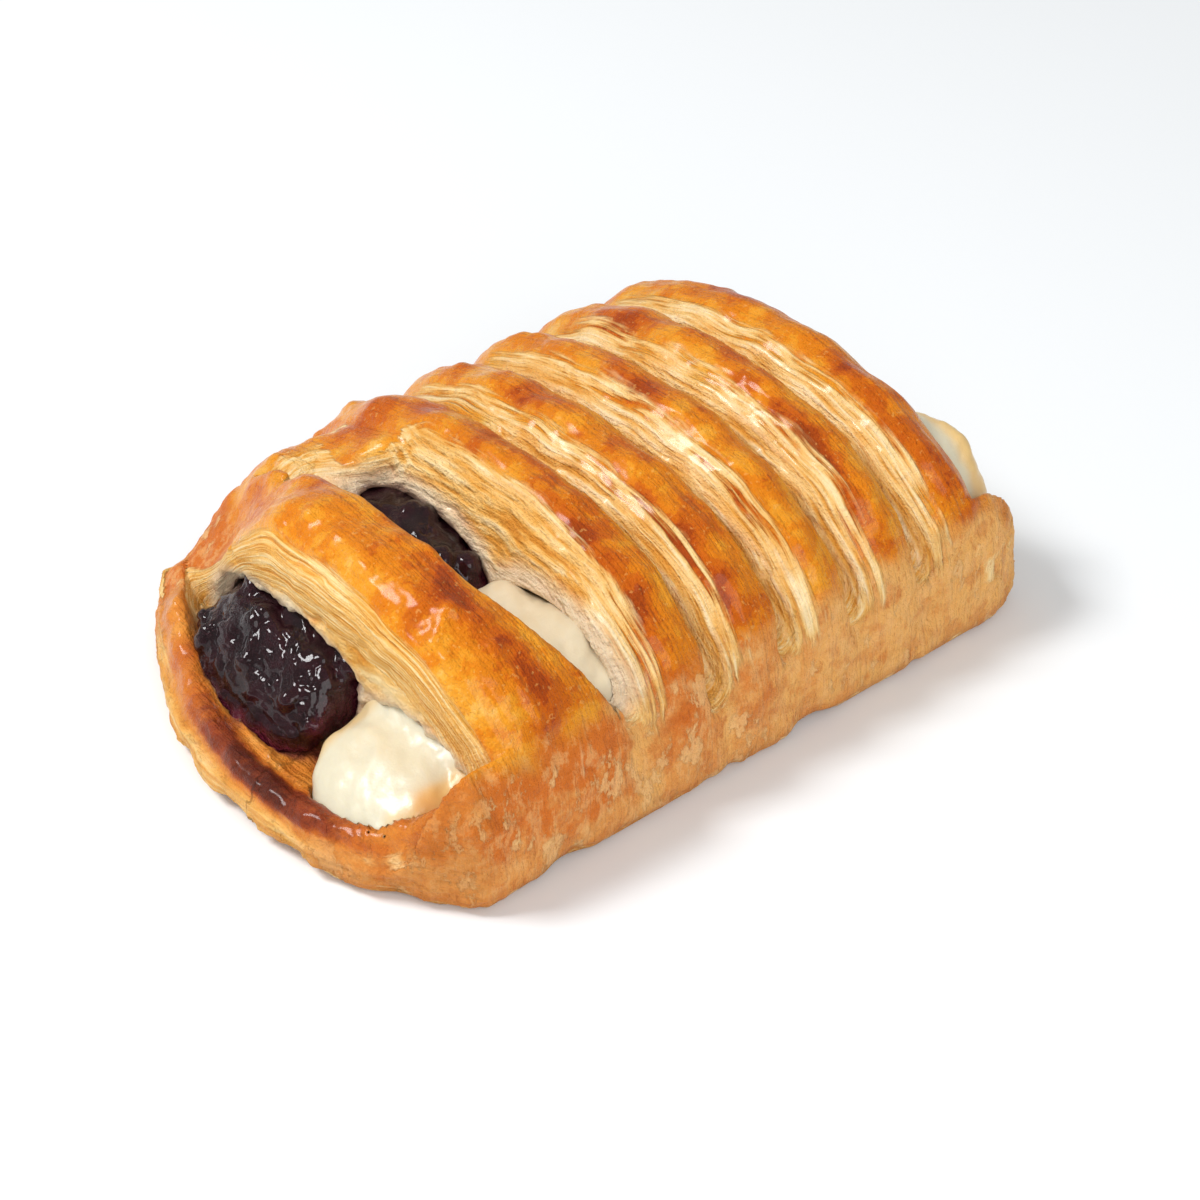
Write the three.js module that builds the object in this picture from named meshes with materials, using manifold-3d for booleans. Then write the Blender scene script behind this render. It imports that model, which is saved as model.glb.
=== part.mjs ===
// A folded danish pastry: one sheet of flaky dough wrapped round a cream filling and a dark berry
// filling. The top has five slits that opened in the oven into six raised strips. Both ends are open,
// and the bottom of the sheet reaches past the top there as a shallow tray with a turned-up rim.
// Millimetres, +Z up. X runs along the pastry, from the near mouth (-X) to the far one, and the
// strips run across it, along Y. The origin is the centre of the underside.
import * as THREE from "three";
import { mergeVertices } from "three/addons/utils/BufferGeometryUtils.js";
import Module from "manifold-3d";

const wasm = await Module();
wasm.setup();

// Driving dimensions
const LENGTH = 116; // whole pastry, tray rims included
const HALF_WIDTH = 40.5; // from the middle to the fold, and to the ledge on the seam side
const SEAM_REACH = 38.7; // how far out the top of the sheet comes down on the seam side
const SHOULDER_HEIGHT = 33.5; // top of the body between the strip crests
const WIDEST_HEIGHT = 8.5; // where the flanks reach furthest out
const ROUNDNESS = 2.2; // superellipse power of the upper half
const CREST_RISE = 2.4; // a strip's crown above its shoulders
const FLOOR = 4.8; // thickness of the bottom of the sheet
const CLEARANCE = 0.3; // between dough and fillings
const SKY = 55; // cuts that open upwards end here, clear of the top

// Where the top of the sheet starts and ends, and the tips of the trays beyond
const FRONT_WALL = -41.4;
const BACK_WALL = 49.1;
const FRONT_TIP = -LENGTH / 2;
const BACK_TIP = LENGTH / 2;

// Each slit drops from the sharp far edge of one strip, at x, and rises over its ramp to the near
// shoulder of the next. It runs from low on the fold's flank to a place on the seam side.
const SLITS = [
  { x: -29.4, ramp: 15, depth: 4, low: 14, to: 30 },
  { x: -5.4, ramp: 4.6, depth: 6.2, low: 10, to: 10 },
  { x: 7.6, ramp: 5, depth: 6.5, low: 12, to: 30 },
  { x: 20.1, ramp: 5, depth: 6.5, low: 11, to: 30 },
  { x: 33.1, ramp: 4.6, depth: 6, low: 12, to: 28 },
];
const DROP_RUN = 0.9; // how far along X a strip's far edge falls

// The first slit gapes, so both fillings show in it. Its sides part from a tip on the fold's flank to
// where it is open, and close again towards the seam, where its bottom rises too.
const GAP = {
  tip: -20.4,
  fold: -38.5,
  open: -10,
  closing: 11,
  seam: 21,
  near: -29.4,
  spread: 0.45,
  far: -17.6,
  farOpen: -18,
  farEnd: -24,
  bottom: 15,
  rise: { from: 7, to: 18, by: 12 },
  lean: 0.19,
  leanOpen: -25,
};

// The strips and swells show from one height on the flanks up to another
const FADE = { from: 12, to: 26 };

// A strip's crown is highest a little past its middle, and keeps part of its rise at the far edge
const CROWN = { peak: 0.55, fall: 0.6 };

// The seam side is pressed down at the near mouth, and the last strip rolls down to the far one
const PINCH = { by: 0.5, from: -24, to: -38, side: 7, outer: 32 };
const ROLL = { by: 2.6, from: 41 };

// The walls over the mouths lean out, less at the sides, and straighten between two heights
const WALL = { lean: 1.8, from: 16, to: 30, sides: 1.2, heights: [-3, 16, 20, 24, 28, 31, SKY] };

const TOP_POINTS = 24; // round the skin from flank to flank
const STATION_PITCH = 3.1; // along it, between slits

const mix = (a, b, t) => a + (b - a) * t;
const clamp01 = (t) => Math.min(1, Math.max(0, t));
const smooth = (a, b, v) => {
  const t = clamp01((v - a) / (b - a));
  return t * t * (3 - 2 * t);
};
const signedPower = (v, p) => Math.sign(v) * Math.abs(v) ** p;
const vec = (x, y, z) => new THREE.Vector3(x, y, z);

function signedVolume(positions, index) {
  const corner = (i) => new THREE.Vector3().fromArray(positions, 3 * index[i]);
  let sum = 0;
  for (let i = 0; i < index.length; i += 3) {
    sum += corner(i).dot(corner(i + 1).cross(corner(i + 2))) / 6;
  }
  return sum;
}

const meanOf = (ring) => ring.reduce((sum, p) => sum.add(p), vec(0, 0, 0)).divideScalar(ring.length);

// A closed mesh through rings of points, with a fan over each end
function loft(rings, middleOf = meanOf) {
  const size = rings[0].length;
  const positions = rings.flat().flatMap((p) => [p.x, p.y, p.z]);
  const index = [];
  for (let r = 0; r + 1 < rings.length; r += 1) {
    for (let j = 0; j < size; j += 1) {
      const k = (j + 1) % size;
      const [a, b] = [r * size + j, r * size + k];
      index.push(a, a + size, b, b, a + size, b + size);
    }
  }
  [rings[0], rings.at(-1)].forEach((ring, end) => {
    const middle = middleOf(ring);
    const centre = positions.length / 3;
    const first = end ? (rings.length - 1) * size : 0;
    positions.push(middle.x, middle.y, middle.z);
    for (let j = 0; j < size; j += 1) {
      const k = (j + 1) % size;
      index.push(centre, first + (end ? k : j), first + (end ? j : k));
    }
  });
  if (signedVolume(positions, index) < 0) index.reverse();
  return new THREE.BufferGeometry()
    .setAttribute("position", new THREE.Float32BufferAttribute(positions, 3))
    .setIndex(index);
}

// A closed mesh as a solid that can be cut and joined, and back again
function solid(geometry) {
  const welded = mergeVertices(geometry, 1e-4);
  return new wasm.Manifold(
    new wasm.Mesh({
      numProp: 3,
      vertProperties: new Float32Array(welded.attributes.position.array),
      triVerts: new Uint32Array(welded.index.array),
    }),
  );
}

function geometryOf(manifold) {
  const mesh = manifold.getMesh();
  const geometry = new THREE.BufferGeometry()
    .setAttribute("position", new THREE.BufferAttribute(mesh.vertProperties, 3))
    .setIndex(new THREE.BufferAttribute(mesh.triVerts, 1));
  geometry.computeVertexNormals();
  return geometry;
}

// The pastry's outline seen from above. Each side of each end is a curve from the tip to the flank:
// run is how far along X it takes, and the power says how square it is.
const NEAR_NOSE = {
  tip: FRONT_TIP,
  inward: 1,
  centre: -8,
  fold: { run: 14, power: 2.5 },
  seam: { run: 18.5, power: 2 },
};
const FAR_NOSE = {
  tip: BACK_TIP,
  inward: -1,
  centre: -8,
  fold: { run: 8.5, power: 16 },
  seam: { run: 12, power: 3 },
};
const noseAt = (x) => (x < 0 ? NEAR_NOSE : FAR_NOSE);

function sideReach(nose, side, x, out) {
  const share = clamp01(((x - nose.tip) * nose.inward) / side.run);
  return mix(nose.centre, out, share ** (1 / side.power));
}

// The near side of the gap, which is the first strip's far edge
const gapNear = (y) => mix(GAP.tip, GAP.near, smooth(GAP.fold, GAP.open, y) ** GAP.spread);
const stripEnd = (slit, y) => (slit === SLITS[0] ? gapNear(y) + 1 : slit.x);

// How far below the shoulders a slit takes the skin at a place on the top
function slitDrop(x, y, z) {
  let drop = 0;
  for (const slit of SLITS) {
    const end = stripEnd(slit, y);
    const across = smooth(end, end + DROP_RUN, x) * (1 - smooth(end + DROP_RUN, slit.x + slit.ramp, x));
    const low = y < 0 ? smooth(slit.low, slit.low + 10, z) : 1;
    drop = Math.max(drop, slit.depth * across * low * (1 - smooth(slit.to - 7, slit.to, y)));
  }
  return drop;
}

// The crown of the strip at x, from nought at its near shoulder, over 1, to a lower far edge
function crownAt(x, y) {
  const starts = [FRONT_WALL, ...SLITS.map((slit) => slit.x + slit.ramp)];
  const ends = [...SLITS.map((slit) => stripEnd(slit, y)), BACK_WALL + 1];
  const { peak, fall } = CROWN;
  for (let i = 0; i < starts.length; i += 1) {
    const u = (x - starts[i]) / (ends[i] - starts[i]);
    if (u >= 0 && u < peak) return 1 - ((u - peak) / peak) ** 2;
    if (u >= peak && u <= 1) return 1 - fall * ((u - peak) / (1 - peak)) ** 2;
  }
  return 0;
}

// The baked skin is uneven: low swells a few millimetres wide
function swell(x, y) {
  const broad = Math.sin(0.31 * x + 0.17 * y + 1) * Math.cos(0.23 * y - 0.11 * x);
  return 0.35 * broad + 0.2 * Math.sin(0.53 * y + 0.4 * x);
}

// The underside of a ring, from the seam side to the fold: a ledge where the top edge of the sheet
// lies on the bottom one, the flat base, and the tight turn up into the fold. Each entry is how
// far it stands out from the flank, and its height.
const SEAM_FOOT = [[-0.7, 6.4], [1.7, 5.2], [1.8, 2.6], [1.2, 0.9], [-0.6, 0]];
const FOLD_FOOT = [[-2.2, 0], [-0.8, 0.5], [-0.15, 1.8], [0, 4.4]];

// Near the tips the underside is drawn in, where the rim turns up off the base
const UNDERCUT = { depth: 2, height: 3, along: 6 };

function skinRing(x) {
  const nose = noseAt(x);
  const fold = sideReach(nose, nose.fold, x, -HALF_WIDTH);
  const seam = sideReach(nose, nose.seam, x, SEAM_REACH);
  const middle = (fold + seam) / 2;
  const half = (seam - fold) / 2;
  const pinch = PINCH.by * smooth(PINCH.from, PINCH.to, x);
  const roll = ROLL.by * smooth(ROLL.from, BACK_WALL + 1, x);
  const rise = SHOULDER_HEIGHT - WIDEST_HEIGHT;
  const ring = [];
  for (let j = 0; j <= TOP_POINTS; j += 1) {
    const angle = (Math.PI * j) / TOP_POINTS;
    let y = middle - half * signedPower(Math.cos(angle), 2 / ROUNDNESS);
    let z = WIDEST_HEIGHT + rise * Math.abs(Math.sin(angle)) ** (2 / ROUNDNESS);
    const fade = smooth(FADE.from, FADE.to, z);
    const lift = (CREST_RISE * crownAt(x, y) + swell(x, y)) * fade - slitDrop(x, y, z);
    const away = new THREE.Vector2(y - middle, z - WIDEST_HEIGHT).normalize();
    y += away.x * lift;
    z += away.y * lift;
    z = (z - roll * fade) * (1 - pinch * smooth(PINCH.side, PINCH.outer, y));
    ring.push(vec(x, y, z));
  }
  const tipShare = 1 - clamp01(((x - nose.tip) * nose.inward) / UNDERCUT.along);
  const small = clamp01(half / 8);
  const under = (y, z) => {
    const drawnIn = UNDERCUT.depth * tipShare * (1 - clamp01(z / UNDERCUT.height)) ** 2;
    ring.push(vec(x + nose.inward * drawnIn, y, z));
  };
  const ledge = mix(0.3, 1, smooth(-42, -25, x));
  SEAM_FOOT.forEach(([out, z]) => under(seam + out * small * ledge, z));
  for (let i = 1; i < 6; i += 1) under(mix(seam - 0.6 * small, fold + 2.2 * small, i / 6), 0);
  FOLD_FOOT.forEach(([out, z]) => under(fold - out * small, z));
  return ring;
}

// Stations along the skin: close together at each slit and at the tips, and evenly spread between
function stations() {
  const list = [0.003, 0.02, 0.07, 0.17, 0.36, 0.65].map((t) => FRONT_TIP + t * (FRONT_WALL - FRONT_TIP));
  list.push(FRONT_WALL);
  const add = (end) => {
    const start = list.at(-1);
    const count = Math.max(1, Math.round((end - start) / STATION_PITCH));
    for (let i = 1; i <= count; i += 1) list.push(mix(start, end, i / count));
  };
  for (const slit of SLITS) {
    add(slit.x);
    list.push(slit.x + DROP_RUN, mix(slit.x + DROP_RUN, slit.x + slit.ramp, 0.4));
    add(slit.x + slit.ramp);
  }
  add(BACK_WALL);
  for (const t of [0.5, 0.8, 0.93, 0.985, 0.998]) list.push(mix(BACK_WALL, BACK_TIP, t));
  return list;
}

// A tray's body: flat below, with a rim that follows the outline and slopes in to the floor. It is
// lofted through rings that step in from the outline and up over the rim's crest. Each step is how
// far in it lies, how much of the rim's height it has, and the floor it falls back to, if any.
const RIM_STEPS = [
  { inset: 0, rise: 0.2 },
  { inset: 0.35, rise: 0.5 },
  { inset: 1, rise: 0.78 },
  { inset: 1.9, rise: 0.95 },
  { inset: 2.9, rise: 1 },
  { inset: 4.2, rise: 0.9, above: FLOOR },
  { inset: 6, rise: 0.5, above: FLOOR },
  { inset: 8, rise: 0.12, above: FLOOR },
  { inset: 10, rise: 0, above: FLOOR },
];
const TRAY_OVERLAP = 14; // how far it runs into the body
const RIM_PLACES = [0, 0.18, 0.36, 0.52, 0.66, 0.77, 0.86, 0.92, 0.96, 0.985, 1];

function trayBody(nose, rim, wall) {
  const inside = wall + TRAY_OVERLAP * nose.inward;
  const outline = [];
  const side = (shape, out, beside, atWall) => {
    const points = RIM_PLACES.map((t) => {
      const x = nose.tip + nose.inward * shape.run * t ** shape.power;
      return { x, y: mix(nose.centre, out, t), height: mix(rim.front, beside, t ** 3) };
    });
    points.push({ x: wall, y: out, height: atWall }, { x: inside, y: out, height: atWall });
    const start = nose.tip + nose.inward * shape.run * 0.3;
    for (const p of points) p.height = mix(p.height, atWall, smooth(start, wall, p.x));
    return points;
  };
  outline.push(...side(nose.fold, -HALF_WIDTH, rim.fold, rim.foldWall).toReversed());
  outline.push(...side(nose.seam, HALF_WIDTH, rim.seam, rim.seamWall).slice(1));
  const centre = vec(inside - nose.inward, nose.centre, 0);
  const ringAt = (inset, heightOf) =>
    outline.map((p) => {
      const away = vec(p.x, p.y, 0).sub(centre);
      const shrink = 1 - inset / away.length();
      return vec(centre.x + away.x * shrink, centre.y + away.y * shrink, heightOf(p));
    });
  const rings = [ringAt(0, () => -1)];
  for (const { inset, rise, above = 0 } of RIM_STEPS) {
    rings.push(ringAt(inset, (p) => mix(above ? above - CLEARANCE : 0, p.height, rise)));
  }
  return solid(loft(rings, (ring) => vec(centre.x, centre.y, ring[0].z)));
}

// What is cut away beyond a wall: all of it but the tray. The wall leans out over the mouth.
function mouthCut(nose, rim, wall) {
  const rings = [];
  const out = nose.tip - 4 * nose.inward;
  const wide = HALF_WIDTH + 4;
  const rows = 12;
  for (let j = 0; j <= rows; j += 1) {
    const y = mix(-wide, wide, j / rows);
    const ring = [vec(out, y, WALL.heights[0])];
    for (const z of WALL.heights) {
      const lean = WALL.lean * (1 - smooth(WALL.from, WALL.to, z)) - WALL.sides * (y / wide) ** 4;
      ring.push(vec(wall + lean * nose.inward, y, z));
    }
    ring.push(vec(out, y, SKY));
    rings.push(ring);
  }
  return solid(loft(rings)).subtract(trayBody(nose, rim, wall));
}

// The gap, a wedge that narrows to nothing on the fold's flank. Its far side leans away.
function gapCut() {
  const rings = [];
  const count = 18;
  for (let i = 0; i <= count; i += 1) {
    const y = mix(GAP.fold, GAP.seam, i / count);
    const closing = smooth(GAP.closing, GAP.seam, y);
    const near = gapNear(y) - 0.1;
    const opened = mix(GAP.tip, GAP.far, smooth(GAP.fold, GAP.farOpen, y));
    const far = mix(opened, GAP.farEnd, closing) + 0.1;
    const lean = GAP.lean * smooth(GAP.fold, GAP.leanOpen, y) * (1 - closing);
    const bottom = GAP.bottom + GAP.rise.by * smooth(GAP.rise.from, GAP.rise.to, y);
    rings.push([
      vec(near, y, bottom),
      vec(far + lean * (bottom - GAP.bottom), y, bottom),
      vec(far + lean * (SKY - GAP.bottom), y, SKY),
      vec(near, y, SKY),
    ]);
  }
  return solid(loft(rings));
}

// A filling's section is squarer below than above
const SECTION = { points: 18, belowPower: 4, abovePower: 2.4 };

// A filling runs through the whole pastry: a log with a rounded nose over each tray. It wells up
// in the gap. Each entry along it is x, the middle in y, half the width, and the top.
const CREAM = {
  nearTip: -53.2,
  farTip: 57.2,
  nearRun: 12,
  farRun: 5,
  roundness: 2.6,
  along: [
    [-60, -21, 12, 13],
    [-42, -20.5, 12, 14],
    [-29, -20.5, 14, 22.5],
    [-18, -20.5, 14.5, 24.5],
    [-8, -20, 13, 18],
    [36, -21, 12, 18],
    [50, -23.5, 9.8, 25.5],
    [60, -23.5, 9.8, 25.5],
  ],
};
const BERRY = {
  nearTip: -49.8,
  farTip: 54,
  nearRun: 6,
  farRun: 10,
  roundness: 2.4,
  along: [
    [-60, 5, 12, 8.8],
    [-50.5, 5.5, 12.5, 10],
    [-40.5, 7.5, 14.5, 18.5],
    [-29, 8, 16.5, 25],
    [-18, 8, 16.5, 26],
    [-8, 8, 16, 19.5],
    [40, 8, 16, 19.5],
    [60, 6, 13, 18.5],
  ],
};

function alongLog(log, x) {
  const next = Math.max(1, log.along.findIndex((entry) => entry[0] >= x));
  const [a, b] = [log.along[next - 1], log.along[next]];
  const t = smooth(a[0], b[0], x);
  return { middle: mix(a[1], b[1], t), half: mix(a[2], b[2], t), top: mix(a[3], b[3], t) };
}

function fillingRing(log, x, grow) {
  const { middle, half, top } = alongLog(log, x);
  const nearShare = clamp01(1 - (x - log.nearTip + grow) / (log.nearRun + grow));
  const farShare = clamp01(1 - (log.farTip + grow - x) / (log.farRun + grow));
  const share = Math.max(nearShare, farShare);
  const width = half * (1 - share ** log.roundness) ** (1 / log.roundness) + grow;
  const bottom = FLOOR + CLEARANCE;
  const tall = ((top - bottom) / 2) * Math.sqrt(1 - share * share);
  const ring = [];
  for (let j = 0; j < SECTION.points; j += 1) {
    const angle = (2 * Math.PI * (j + 0.5)) / SECTION.points;
    const power = 2 / (Math.sin(angle) < 0 ? SECTION.belowPower : SECTION.abovePower);
    const y = middle + width * signedPower(Math.cos(angle), power);
    const z = bottom + tall + (tall + grow) * signedPower(Math.sin(angle), power);
    ring.push(vec(x, y, z));
  }
  return ring;
}

function filling(log, grow = 0) {
  const start = log.nearTip - grow;
  const end = log.farTip + grow;
  const nose = [0.02, 0.1, 0.25, 0.5, 0.8];
  const places = nose.map((t) => start + t * log.nearRun);
  const count = 18;
  for (let i = 0; i <= count; i += 1) places.push(mix(start + log.nearRun, end - log.farRun, i / count));
  places.push(...nose.toReversed().map((t) => end - t * log.farRun));
  return solid(loft(places.map((x) => fillingRing(log, x, grow))));
}

const NEAR_RIM = { front: 8.5, fold: 9.5, foldWall: 17, seam: 10, seamWall: 14 };
const FAR_RIM = { front: 11, fold: 19, foldWall: 22, seam: 10, seamWall: 12 };

const berryLog = filling(BERRY);
const berryRoom = filling(BERRY, CLEARANCE);
const creamLog = filling(CREAM).subtract(berryRoom);
const tipMiddle = (ring) => vec(ring[0].x, (ring[0].y + ring[TOP_POINTS].y) / 2, UNDERCUT.height);
const dough = solid(loft(stations().map(skinRing), tipMiddle))
  .subtract(mouthCut(NEAR_NOSE, NEAR_RIM, FRONT_WALL))
  .subtract(mouthCut(FAR_NOSE, FAR_RIM, BACK_WALL))
  .subtract(gapCut())
  .subtract(berryRoom)
  .subtract(filling(CREAM, CLEARANCE));

const glazedCrust = new THREE.MeshStandardMaterial({ color: 0xd9872b, roughness: 0.42, metalness: 0 });
const paleCream = new THREE.MeshStandardMaterial({ color: 0xf1e6bd, roughness: 0.35, metalness: 0 });
const darkBerry = new THREE.MeshStandardMaterial({ color: 0x2a0d16, roughness: 0.15, metalness: 0 });

function named(name, manifold, material) {
  const mesh = new THREE.Mesh(geometryOf(manifold), material);
  mesh.name = name;
  return mesh;
}

const pastry = new THREE.Group();
pastry.add(named("dough", dough, glazedCrust));
pastry.add(named("cream_filling", creamLog, paleCream));
pastry.add(named("berry_filling", berryLog, darkBerry));

export default pastry;
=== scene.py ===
import math

import bpy
import numpy as np
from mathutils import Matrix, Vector


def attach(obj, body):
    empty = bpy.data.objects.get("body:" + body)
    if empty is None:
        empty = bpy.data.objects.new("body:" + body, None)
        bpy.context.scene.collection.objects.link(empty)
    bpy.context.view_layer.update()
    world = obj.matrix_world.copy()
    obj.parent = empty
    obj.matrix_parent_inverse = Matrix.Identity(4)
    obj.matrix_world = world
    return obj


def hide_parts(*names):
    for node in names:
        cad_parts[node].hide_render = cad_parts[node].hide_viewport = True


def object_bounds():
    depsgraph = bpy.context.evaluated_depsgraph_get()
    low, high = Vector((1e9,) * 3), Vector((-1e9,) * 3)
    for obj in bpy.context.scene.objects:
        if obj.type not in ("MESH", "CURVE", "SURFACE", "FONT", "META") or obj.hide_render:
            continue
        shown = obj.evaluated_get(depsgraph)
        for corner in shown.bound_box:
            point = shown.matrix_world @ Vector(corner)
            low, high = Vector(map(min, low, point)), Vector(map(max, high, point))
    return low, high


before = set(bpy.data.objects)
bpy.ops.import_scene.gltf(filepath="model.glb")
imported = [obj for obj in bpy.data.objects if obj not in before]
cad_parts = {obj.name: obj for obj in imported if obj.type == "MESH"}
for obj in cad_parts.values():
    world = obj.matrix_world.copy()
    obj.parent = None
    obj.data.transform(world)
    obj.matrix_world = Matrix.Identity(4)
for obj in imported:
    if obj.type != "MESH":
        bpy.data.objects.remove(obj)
cad_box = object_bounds()


# DOUGH. One sheet of laminated yeast dough, folded over the fillings, slit across the top and baked
# with an egg wash. The strips' tops are glazed and browned, the slits and the cut ends show its pale
# layers, and the flanks are matte with thin flakes of crust.
def mix(a, b, t):
    return a + (b - a) * t


def smooth(a, b, v):
    t = np.clip((v - a) / (b - a), 0, 1)
    return t * t * (3 - 2 * t)


lattice = np.random.default_rng(5).uniform(-1, 1, (32, 32, 32)).astype(np.float32)


def noise(x, y, z, size, octaves=1, seed=0):
    """Smooth noise from about -1 to 1, with lumps that are size across"""
    total = 0
    for octave in range(octaves):
        cells, parts = [], []
        # the lattice is turned, so that its rows don't line up with the pastry
        for n, turned in enumerate((0.8 * x + 0.6 * z, 0.9 * y - 0.44 * x, 0.8 * z - 0.5 * x + 0.33 * y)):
            place = turned * (2**octave / size) + 5.3 * n + 9.17 * seed + 3.1 * octave
            cell = np.floor(place)
            part = place - cell
            cells.append(cell.astype(np.int32))
            parts.append(part * part * (3 - 2 * part))
        value = 0
        for i in (0, 1):
            for j in (0, 1):
                for k in (0, 1):
                    weight = 1
                    for part, far in zip(parts, (i, j, k)):
                        weight = weight * (part if far else 1 - part)
                    spot = tuple((cell + far) & 31 for cell, far in zip(cells, (i, j, k)))
                    value = value + weight * lattice[spot]
        total = total + value * 0.5**octave
    return total


half_width = 40.5
seam_reach = 38.7
shoulder = 33.5
widest = 8.5
roundness = 2.2
crest_rise = 2.4
floor_height = 4.8
front_wall, back_wall = -41.4, 49.1
# sharp far edge, ramp, depth, lowest height on the fold's flank, and end on the seam side
slits = [
    (-29.4, 15, 4, 14, 30),
    (-5.4, 4.6, 6.2, 10, 10),
    (7.6, 5, 6.5, 12, 30),
    (20.1, 5, 6.5, 11, 30),
    (33.1, 4.6, 6, 12, 28),
]
# the gaping first slit: where it ends on the fold's flank and on the seam side, its point on the
# flank, its sides where it is open, its far side's end at the seam, its bottom, and its far lean
gap_fold, gap_seam, gap_point = -38.5, 21, -20.4
gap_near, gap_far, gap_far_end = -29.4, -17.6, -24
gap_bottom, gap_lean = 15, 0.19
# tip, inward, centre, and the fold side's and the seam side's run and power
near_nose = (-58, 1, -8, (14, 2.5), (18.5, 2))
far_nose = (58, -1, -8, (8.5, 16), (12, 3))
near_rim = dict(front=8.5, fold=9.5, fold_wall=17, seam=10, seam_wall=14)
far_rim = dict(front=11, fold=19, fold_wall=22, seam=10, seam_wall=12)


def side_values(nose, y, seam_out):
    """The run, power and reach of the side of the outline that y is on"""
    centre, fold, seam = nose[2:]
    on_fold = y < centre
    run = np.where(on_fold, fold[0], seam[0])
    power = np.where(on_fold, fold[1], seam[1])
    width = np.where(on_fold, half_width + centre, seam_out - centre)
    return run, power, width


def inset(nose, x, y, seam_out):
    """How far inside the outline, seen from above"""
    tip, inward, centre = nose[:3]
    run, power, width = side_values(nose, y, seam_out)
    across = np.clip(np.abs(y - centre) / width, 1e-3, None)
    inside = (x - tip) * inward / run - across**power
    slope = np.hypot(1 / run, power * across ** (power - 1) / width)
    return np.minimum(inside / slope, width * (1 - across))


def rim_height(nose, rim, wall, x, y):
    """The height of the tray's rim beside each place"""
    tip, inward, centre = nose[:3]
    run, power, width = side_values(nose, y, half_width)
    across = np.clip(np.abs(y - centre) / width, 0, 1)
    on_fold = y < centre
    height = mix(rim["front"], np.where(on_fold, rim["fold"], rim["seam"]), across**3)
    start = tip + inward * run * 0.3
    return mix(height, np.where(on_fold, rim["fold_wall"], rim["seam_wall"]), smooth(start, wall, x))


def tray_top(nose, rim, wall, x, y):
    """The upper side of a tray: the rim's crest, and the floor inside it"""
    inward = inset(nose, x, y, half_width)
    height = rim_height(nose, rim, wall, x, y)
    ragged = 0.5 * noise(x, y, 0 * x, 3, 2, seed=3)
    rise = np.interp(inward, [0, 0.35, 1, 1.9, 2.9], [0.2, 0.5, 0.78, 0.95, 1])
    fall = np.interp(inward, [2.9, 4.2, 6, 8, 10], [1, 0.9, 0.5, 0.12, 0])
    # the inner layer of the sheet ends in a ragged step inside the rim
    step = 0.8 * smooth(6.4, 6.9, inward + ragged) * smooth(-4, 4, y + 16)
    return np.where(inward < 2.9, rise * height, mix(floor_height, height, fall) + step)


def gap_sides(y):
    """The near and far sides of the gaping first slit, and how much the far one leans away"""
    closing = smooth(11, gap_seam, y)
    near = mix(gap_point, gap_near, smooth(gap_fold, -10, y) ** 0.45)
    far = mix(mix(gap_point, gap_far, smooth(gap_fold, -18, y)), gap_far_end, closing)
    return near, far, gap_lean * smooth(gap_fold, -25, y) * (1 - closing)


def strip_share(x, first_end):
    """How far along its strip each place is: 0 at the near shoulder, 1 at the far edge, -1 in a slit"""
    starts = [front_wall] + [s[0] + s[1] for s in slits]
    ends = [first_end] + [s[0] for s in slits[1:]] + [back_wall + 1]
    share = 0 * x - 1
    for start, end in zip(starts, ends):
        u = (x - start) / (end - start)
        share = np.where((u >= 0) & (u <= 1), u, share)
    return share


def top_of(x, y, z):
    """Distance above the uncut top, a slit's depth there, the place round the section and along the
    pastry, and how high the strip's crown is"""
    nose_reach = []
    for side, out in ((3, -half_width), (4, seam_reach)):
        near = np.clip((x - near_nose[0]) / near_nose[side][0], 0, 1) ** (1 / near_nose[side][1])
        far = np.clip((far_nose[0] - x) / far_nose[side][0], 0, 1) ** (1 / far_nose[side][1])
        nose_reach.append(mix(near_nose[2], out, np.where(x < 0, near, far)))
    middle = (nose_reach[0] + nose_reach[1]) / 2
    half = np.maximum((nose_reach[1] - nose_reach[0]) / 2, 0.05)
    pressed = z / (1 - 0.5 * smooth(-24, -38, x) * smooth(7, 32, y))
    level = pressed + 2.6 * smooth(41, back_wall + 1, x) * smooth(12, 26, pressed)
    across, up = y - middle, np.maximum(level - widest, 0)
    reach = np.hypot(across, up) + 1e-6
    tall = (up / (shoulder - widest)) ** roundness
    rho = ((np.abs(across) / half) ** roundness + tall) ** (1 / roundness) + 1e-6
    yb, zb = middle + across / rho, widest + up / rho
    # the strips' edges wander a little
    wave = 0.5 * noise(0.25 * x, yb, zb, 13, seed=1) + 0.18 * noise(0.4 * x, yb, zb, 3.5, seed=2)
    xw = x + wave * smooth(10, 16, zb) * smooth(-38, -30, x)
    fade = smooth(12, 26, zb)
    swell = 0.35 * np.sin(0.31 * x + 0.17 * yb + 1) * np.cos(0.23 * yb - 0.11 * x)
    swell = swell + 0.2 * np.sin(0.53 * yb + 0.4 * x)
    first_end = gap_sides(yb)[0] + 1
    share = strip_share(xw, first_end)
    crown = np.where(share < 0.55, 1 - ((share - 0.55) / 0.55) ** 2, 1 - 0.6 * ((share - 0.55) / 0.45) ** 2)
    crown = np.where(share < 0, 0, crown)
    above = reach * (1 - 1 / rho) - (crest_rise * crown + swell) * fade
    drop = np.zeros_like(above)
    for number, (start, ramp, depth, low, to) in enumerate(slits):
        end = start + ramp
        start = start if number else first_end
        fall = smooth(start, start + 0.9, xw) * (1 - smooth(start + 0.9, end, xw))
        lowest = np.where(yb < 0, smooth(low, low + 10, zb), 1)
        drop = np.maximum(drop, depth * fall * lowest * (1 - smooth(to - 7, to, yb)))
    arc = 28 * np.arctan2(zb - widest, yb - middle)
    return above, drop, arc, xw, crown


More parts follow.
